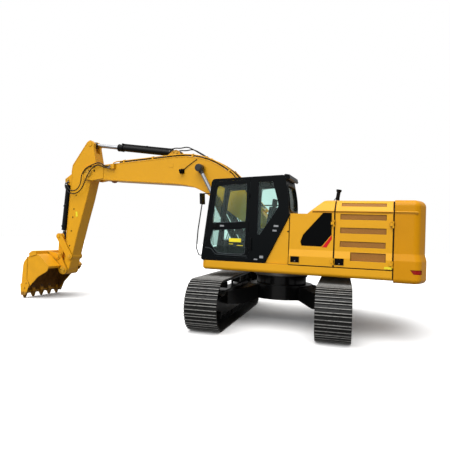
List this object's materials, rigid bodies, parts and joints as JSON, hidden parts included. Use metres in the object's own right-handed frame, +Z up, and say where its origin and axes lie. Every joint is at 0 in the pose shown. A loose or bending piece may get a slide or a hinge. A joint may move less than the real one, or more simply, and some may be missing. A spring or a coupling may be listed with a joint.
{
  "type": "crawler excavator",
  "caption": "Tracked hydraulic excavator with slewing upper, cab, boom, stick and bucket, jointed at every pin, with opening doors, hood and tool box.",
  "frame": {"origin": "on the ground at the swing axis", "axes": "+X forward along the boom, +Y to the cab side, +Z up"},
  "size_m": [10.7229, 5.325, 4.6077],
  "materials": {
    "yellow_paint": "gloss",
    "black_paint": "satin",
    "cab_paint": "gloss",
    "track_steel": "matte",
    "wheel_iron": "matte",
    "bearing_steel": "satin",
    "pin_steel": "satin",
    "rod_chrome": "polished",
    "glazing": "gloss",
    "seat_fabric": "matte",
    "cab_plastic": "matte",
    "engine_iron": "satin",
    "cooler_alu": "satin",
    "grille_brown": "satin",
    "mesh_black": "satin",
    "lamp_red": "gloss",
    "hose_rubber": "satin"
  },
  "bodies": {
    "undercarriage": {"car_body": "black_paint", "track_left": "track_steel", "track_right": "track_steel", "track_frame_left": "black_paint", "track_frame_right": "black_paint", "track_rollers": "wheel_iron", "drive_sprockets": "wheel_iron", "idlers": "wheel_iron", "slew_ring_inner": "bearing_steel"},
    "upper": {"slew_ring_outer": "bearing_steel", "revolving_frame": "black_paint", "left_deck": "yellow_paint", "right_deck": "yellow_paint", "engine_housing": "yellow_paint", "counterweight": "yellow_paint", "engine_block": "engine_iron", "cooling_pack": "cooler_alu", "main_pump": "engine_iron", "hydraulic_tank": "yellow_paint", "fuel_tank": "yellow_paint", "tool_box": "yellow_paint", "cab_shell": "cab_paint", "cab_glazing": "glazing", "seat_base": "cab_plastic", "seat_cushion": "seat_fabric", "control_consoles": "cab_plastic", "handrails": "black_paint", "cab_mirror": "black_paint", "exhaust_stack": "black_paint", "frame_pins": "pin_steel", "tail_lamps": "lamp_red", "fender_panel": "yellow_paint"},
    "cab_door": {"cab_door": "cab_paint", "cab_door_glazing": "glazing"},
    "service_door_front_left": {"service_door_front_left": "yellow_paint", "front_door_mesh": "mesh_black", "front_door_latch": "mesh_black"},
    "service_door_rear_left": {"service_door_rear_left": "yellow_paint", "rear_door_grilles": "grille_brown", "rear_door_latch": "mesh_black"},
    "service_door_right": {"service_door_right": "yellow_paint"},
    "engine_hood": {"engine_hood": "yellow_paint"},
    "tool_box_lid": {"tool_box_lid": "black_paint"},
    "boom": {"boom": "yellow_paint", "boom_pins": "pin_steel", "boom_pipes": "yellow_paint", "boom_hoses": "hose_rubber", "boom_lamp": "mesh_black"},
    "boom_barrels": {"boom_cylinder_barrels": "black_paint"},
    "boom_rods": {"boom_cylinder_rods": "rod_chrome"},
    "stick": {"stick": "yellow_paint", "stick_pins": "pin_steel", "stick_hoses": "hose_rubber"},
    "stick_barrel": {"stick_cylinder_barrel": "black_paint"},
    "stick_rod": {"stick_cylinder_rod": "rod_chrome"},
    "bucket": {"bucket": "yellow_paint"},
    "bucket_barrel": {"bucket_cylinder_barrel": "black_paint"},
    "bucket_rod": {"bucket_cylinder_rod": "rod_chrome"},
    "idler_links": {"idler_links": "yellow_paint"},
    "power_link": {"power_link": "yellow_paint"}
  },
  "joints": [
    {"name": "slew", "type": "hinge", "parent": "undercarriage", "child": "upper", "pos_m": [0, 0, 1.18], "axis": [0, 0, 1], "continuous": true},
    {"name": "cab_door_hinge", "type": "hinge", "parent": "upper", "child": "cab_door", "pos_m": [0.4335, 1.504, 2.3], "axis": [0, 0, 1], "range_deg": [0, 150]},
    {"name": "service_door_front_left_hinge", "type": "hinge", "parent": "upper", "child": "service_door_front_left", "pos_m": [-1.3985, 1.504, 2], "axis": [0, 0, 1], "range_deg": [0, 85]},
    {"name": "service_door_rear_left_hinge", "type": "hinge", "parent": "upper", "child": "service_door_rear_left", "pos_m": [-2.5435, 1.504, 2], "axis": [0, 0, 1], "range_deg": [0, 85]},
    {"name": "service_door_right_hinge", "type": "hinge", "parent": "upper", "child": "service_door_right", "pos_m": [-2.5435, -1.504, 2], "axis": [0, 0, -1], "range_deg": [0, 85]},
    {"name": "engine_hood_hinge", "type": "hinge", "parent": "upper", "child": "engine_hood", "pos_m": [-1.3265, 0, 2.874], "axis": [0, 1, 0], "range_deg": [0, 60]},
    {"name": "tool_box_lid_hinge", "type": "hinge", "parent": "upper", "child": "tool_box_lid", "pos_m": [0.9445, -1, 1.944], "axis": [0, -1, 0], "range_deg": [0, 90]},
    {"name": "boom_lift", "type": "hinge", "parent": "upper", "child": "boom", "pos_m": [0.1, 0, 1.95], "axis": [0, -1, 0], "range_deg": [-50, 42]},
    {"name": "boom_barrel_swing", "type": "hinge", "parent": "upper", "child": "boom_barrels", "pos_m": [0.8, 0, 1.38], "axis": [0, -1, 0], "range_deg": [-49.05, 41.28]},
    {"name": "boom_rod_slide", "type": "slide", "parent": "boom_barrels", "child": "boom_rods", "axis": [0.4997, 0, 0.8662], "range_m": [-0.7225, 0.6077]},
    {"name": "stick_crowd", "type": "hinge", "parent": "boom", "child": "stick", "pos_m": [5.66, 0, 3.65], "axis": [0, 1, 0], "range_deg": [-56, 50]},
    {"name": "stick_barrel_swing", "type": "hinge", "parent": "boom", "child": "stick_barrel", "pos_m": [2.97, 0, 4.17], "axis": [0, -1, 0], "range_deg": [-1.81, 1.97]},
    {"name": "stick_rod_slide", "type": "slide", "parent": "stick_barrel", "child": "stick_rod", "axis": [0.9927, 0, 0.1209], "range_m": [-0.7374, 0.6589]},
    {"name": "bucket_curl", "type": "hinge", "parent": "stick", "child": "bucket", "pos_m": [6.41, 0, 0.83], "axis": [0, 1, 0], "range_deg": [-10, 125]},
    {"name": "idler_swing", "type": "hinge", "parent": "stick", "child": "idler_links", "pos_m": [6.23, 0, 1.24], "axis": [0, 1, 0], "range_deg": [-6.82, 79.5]},
    {"name": "power_link_swing", "type": "hinge", "parent": "idler_links", "child": "power_link", "pos_m": [6.63, 0, 1.81], "axis": [0, 1, 0], "range_deg": [-58, 5.1]},
    {"name": "bucket_barrel_swing", "type": "hinge", "parent": "stick", "child": "bucket_barrel", "pos_m": [6.5, 0, 3.47], "axis": [0, -1, 0], "range_deg": [-0.85, 4.88]},
    {"name": "bucket_rod_slide", "type": "slide", "parent": "bucket_barrel", "child": "bucket_rod", "axis": [0.0781, 0, -0.9969], "range_m": [-0.0757, 0.8886]}
  ],
  "couplings": [
    {"joint": "boom_barrel_swing", "follows": "boom_lift", "ratio": 0.97107},
    {"joint": "boom_rod_slide", "follows": "boom_lift", "m_per_rad": 0.82215},
    {"joint": "stick_barrel_swing", "follows": "stick_crowd", "ratio": -0.0263},
    {"joint": "stick_rod_slide", "follows": "stick_crowd", "m_per_rad": 0.74934},
    {"joint": "idler_swing", "follows": "bucket_curl", "ratio": 0.632},
    {"joint": "power_link_swing", "follows": "bucket_curl", "ratio": -0.46},
    {"joint": "bucket_barrel_swing", "follows": "bucket_curl", "ratio": 0.035},
    {"joint": "bucket_rod_slide", "follows": "bucket_curl", "m_per_rad": 0.405}
  ]
}
